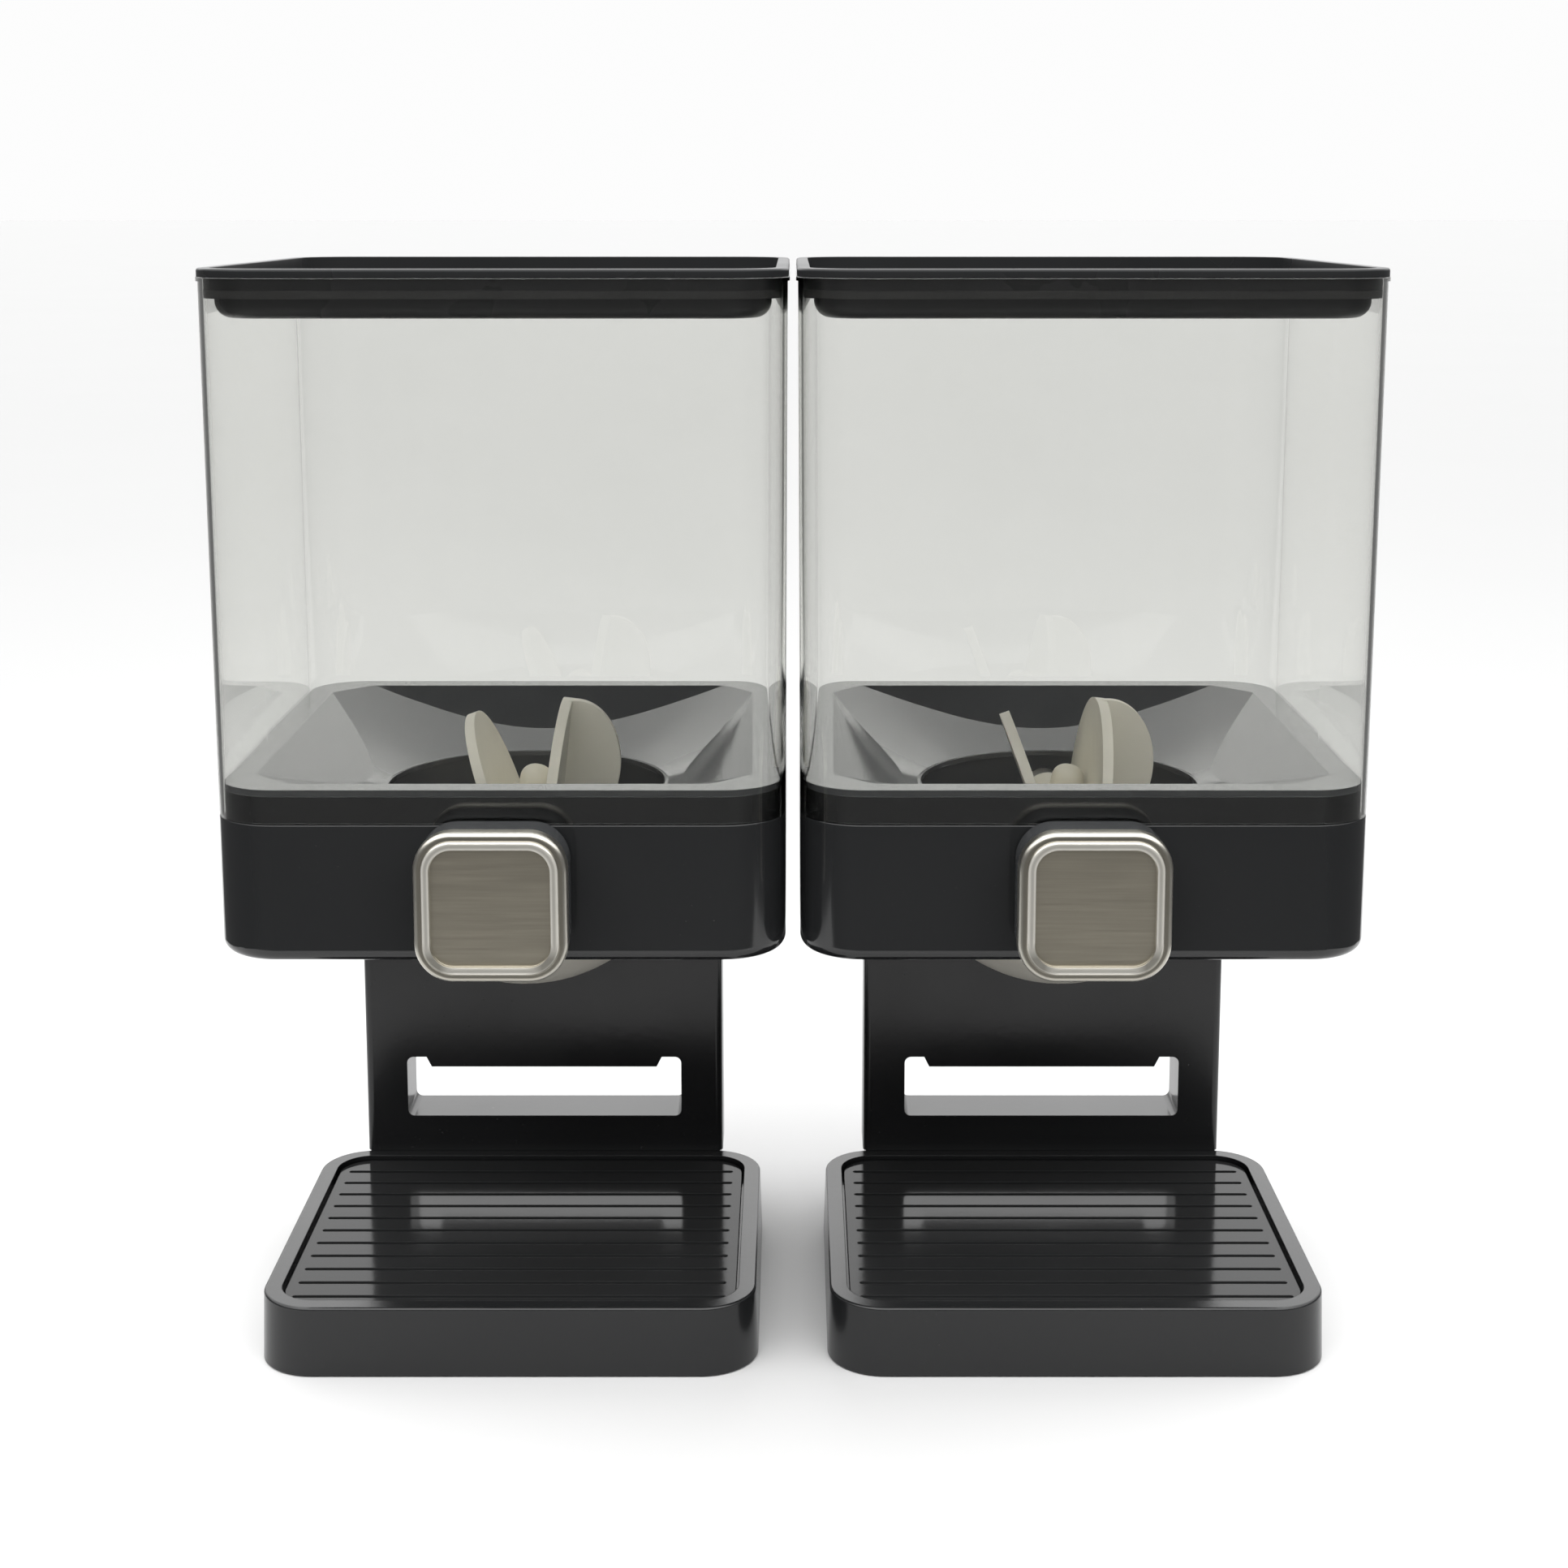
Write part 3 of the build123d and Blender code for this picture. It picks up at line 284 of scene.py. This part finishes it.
def brushed_nickel():
    """Warm nickel: a brushed panel inside a polished raised ring, with a valley and a lip round it;
    painted shade darkens the valley, the ring's middle and its lower corners, and a painted highlight
    brightens the lip.
    """
    finish = Finish("brushed_nickel", {"IOR": 1.5})
    across, _, up = finish.axes(finish.place)
    straight = KNOB_HALF - KNOB_CORNER
    off_axis = abs(abs(across) - KNOB_X)
    side, rise = off_axis - straight, abs(up - AXIS_Z) - straight
    bend = (side.most(0.0) ** 2.0 + rise.most(0.0) ** 2.0) ** 0.5
    inward = KNOB_CORNER - bend - side.most(rise).least(0.0)
    panel = finish.span(inward, *PANEL_BAND)
    ring = finish.span(inward, *RING_BAND) * (1 - panel)
    # Painted shade: the valley groove is mixed toward a darker nickel
    valley = finish.span(inward, *VALLEY_BAND) * (1 - ring) * (1 - panel)
    # Painted highlight: a thin bright line along the cap's outer edge
    lip = finish.span(inward, *LIP_BAND) * LIP_GLINT
    # Painted shade: a dark line along the ring's middle
    painted_crease_shade = finish.span(abs(inward - RING_MIDDLE), *CREASE_BAND) * CREASE_SHADE
    # Painted shade: the ring darkens toward its lower corners
    painted_low_corner_shade = finish.span(AXIS_Z - up, *LOW_CORNER_SHADE_BAND) * finish.span(off_axis, *LOW_CORNER_SHADE_BAND)
    grain = finish.stretch(finish.place, BRUSHING)
    streaks = finish.noise(grain, scale=1.0, detail=4.0, roughness=0.65)
    drift = finish.noise(finish.place, scale=55.0)
    brushed = finish.mix(streaks, *NICKEL_BRUSHED)
    # The lip's painted highlight mixes the edge toward the bright nickel
    edge = finish.mix(lip, finish.mix(drift, *NICKEL_EDGE), NICKEL_BRIGHT)
    # The polished ring darkens by random drift plus painted shade at the crease and lower corners
    shade = (drift * DRIFT_SHADE + painted_crease_shade).most(painted_low_corner_shade)
    polished = finish.mix(shade, NICKEL_BRIGHT, NICKEL_SHADED)
    rim = finish.mix(ring, finish.mix(valley, edge, NICKEL_VALLEY_SHADE), polished)
    return finish.feed(
        Base_Color=finish.mix(panel, rim, brushed),
        Metallic=1 - ring * RING_DULLING,
        Roughness=0.3 + drift * 0.05 + panel * streaks * 0.12,
        Normal=finish.bump(streaks * panel, strength=0.22, distance=0.00006),
    )


def soft_silicone(name, tones, roughness):
    """Silicone or matt plastic with a powdery skin and slight mottling."""
    finish = Finish(name, {"IOR": 1.42})
    mottle = finish.noise(finish.place, scale=60.0, detail=4.0)
    powder = finish.noise(finish.place, scale=1600.0, detail=2.0, roughness=0.7)
    return finish.feed(
        Base_Color=finish.mix(finish.span(mottle, low=0.3, high=0.7), *tones),
        Roughness=roughness + powder * 0.15,
        Normal=finish.bump(powder + mottle * 0.4, strength=0.3, distance=0.00005),
    )


def turned_steel():
    """Plain steel with fine lathe rings about the wheel's axis and drift in its colour."""
    finish = Finish("turned_steel", {"Metallic": 1.0})
    rings = finish.noise(finish.stretch(finish.place, LATHE_RINGS), scale=1.0)
    drift = finish.noise(finish.place, scale=90.0)
    return finish.feed(
        Base_Color=finish.mix(drift, *STEEL_TONES),
        Roughness=0.22 + rings * 0.18,
        Normal=finish.bump(rings, strength=0.25, distance=0.00004),
    )


def dark_rubber(name, tone):
    """Grainy dark rubber."""
    finish = Finish(name, {"IOR": 1.5})
    grain = finish.noise(finish.place, scale=1200.0, roughness=0.7)
    clouds = finish.noise(finish.place, scale=70.0)
    return finish.feed(
        Base_Color=finish.mix(clouds, grey(tone * 0.8), grey(tone * 1.3, warmth=0.03)),
        Roughness=0.62 + grain * 0.25,
        Normal=finish.bump(grain, strength=0.45, distance=0.00008),
    )


satin_black = moulded_black("satin_black", tone=0.010, sheen=0.19, peel=0.4, shine=0.42)
bush_white = soft_silicone("bush_plastic", BUSH_TONES, roughness=0.35)
steel = turned_steel()

FINISHES = {
    "base_shell": satin_black,
    "crumb_tray": tray_black(),
    "base_feet": dark_rubber("foot_rubber", tone=0.03),
    "column_shell": satin_black,
    "column_rear_cover": satin_black,
    "cover_screws": steel,
    "column_base_screws": steel,
    "housing_shell": moulded_black("gloss_black", tone=0.014, sheen=0.10, peel=0.06),
    "housing_column_screws": steel,
    "funnel": moulded_black("funnel_black", tone=0.07, sheen=0.09, peel=0.2),
    "outlet_cup": soft_silicone("cup_plastic", CUP_TONES, roughness=0.36),
    "cup_screws": steel,
    "canister": clear_acrylic(),
    "lid": moulded_black("lid_black", tone=0.020, sheen=0.3, peel=0.06, shine=0.15),
    "lid_seal": dark_rubber("seal_rubber", tone=0.022),
    "knob_cap": brushed_nickel(),
    "knob_core": moulded_black("knob_black", tone=0.045, sheen=0.22, peel=0.3),
    "knob_screw": steel,
    "drive_shaft": steel,
    "front_bush": bush_white,
    "rear_bush": bush_white,
    "shaft_clip": steel,
    "wheel_hub": soft_silicone("hub_plastic", HUB_TONES, roughness=0.4),
    "hub_pin": steel,
    "paddle_wheel": soft_silicone("wheel_silicone", WHEEL_TONES, roughness=0.5),
}

for unit in UNITS:
    for piece, material in FINISHES.items():
        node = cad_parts[f"{unit}_{piece}"]
        node.data.materials.clear()
        node.data.materials.append(material)


def make_floor():
    """Pale lit floor as wide as the view, running far back and a little darker there, which is painted
    shade.
    """
    mesh = bpy.data.meshes.new("pale_floor")
    left = [(-x, y, z) for x, y, z in reversed(FLOOR_RIGHT)]
    outline = FLOOR_RIGHT + left
    mesh.from_pydata(outline, [], [range(len(outline))])
    floor = bpy.data.objects.new("pale_floor", mesh)
    bpy.context.scene.collection.objects.link(floor)
    finish = Finish("pale_floor", {"Roughness": 0.6, "Specular IOR Level": 0.1})
    cloud = finish.noise(finish.place, scale=2.0)
    _, back, _ = finish.axes(finish.place)
    # Painted shade: the floor's colour darkens from near to far back
    distance = finish.span(back, low=0.1, high=0.7)
    tone = finish.mix(distance * 0.95 + cloud * 0.05, grey(FLOOR_NEAR_TONE), grey(FLOOR_FAR_SHADED_TONE))
    mesh.materials.append(finish.feed(Base_Color=tone))


def make_world():
    """White studio: a bright ceiling that comes low at the back, a back window and dim walls.

    The white backdrop shows to the camera, also straight through a whole canister.
    """
    world = bpy.data.worlds.new("white_studio")
    bpy.context.scene.world = world
    world.use_nodes = True
    board = Board(world.node_tree)
    background = world.node_tree.nodes["Background"]
    background.inputs["Color"].default_value = WHITE
    across, along, up = board.axes(board.node("ShaderNodeTexCoord", output="Generated"))
    front = board.span(along, low=0.1, high=-0.6)
    window = board.span(along, low=0.86, high=0.94)
    sides = board.span(abs(across), low=0.45, high=0.8)
    walls = WALL_LIGHT - sides * SIDE_WALL_LOSS + window * WINDOW_LIGHT
    low_back = board.span(up, low=0.12, high=0.3) * board.span(along, low=0.5, high=0.8)
    ceiling = board.span(up, low=0.38, high=0.55).most(low_back)
    studio = walls * (1 - ceiling) + ceiling * (CEILING_LIGHT + front * FRONT_CEILING_GAIN)
    ray = {name: board.node("ShaderNodeLightPath", output=name) for name in RAY_FACTS}
    bounced = ray["Diffuse Depth"] + ray["Glossy Depth"] > 0.5
    crossed = ray["Transmission Depth"] > CANISTER_FACES - 1
    through = ray["Is Transmission Ray"] * crossed * (1 - bounced)
    seen = ray["Is Camera Ray"].most(through)
    board.plug(seen * BACKDROP_LIGHT + (1 - seen) * studio, background.inputs["Strength"])


def make_softbox():
    """Wide soft lamp above and a little behind the dispensers, turned to their middle."""
    lamp = bpy.data.lights.new("overhead", "AREA")
    lamp.shape = "RECTANGLE"
    lamp.size, lamp.size_y = SOFTBOX_SIZE
    lamp.energy = SOFTBOX_POWER
    holder = bpy.data.objects.new("overhead", lamp)
    bpy.context.scene.collection.objects.link(holder)
    holder.location = SOFTBOX_PLACE
    aim = Vector(SOFTBOX_AIM) - Vector(SOFTBOX_PLACE)
    holder.rotation_euler = aim.to_track_quat("-Z", "Y").to_euler()


def make_camera():
    """Camera in front of the pair, looking a little down."""
    lens = bpy.data.cameras.new("photo_view")
    lens.lens = CAMERA_LENS
    lens.sensor_width = CAMERA_SENSOR
    lens.shift_x, lens.shift_y = CAMERA_SHIFT
    lens.clip_start = CAMERA_NEAR
    camera = bpy.data.objects.new("photo_view", lens)
    bpy.context.scene.collection.objects.link(camera)
    camera.location = CAMERA_PLACE
    camera.rotation_euler = (math.radians(90 - CAMERA_PITCH), 0, 0)
    bpy.context.scene.camera = camera


make_floor()
make_world()
make_softbox()
make_camera()
bpy.context.scene.view_settings.view_transform = "Standard"
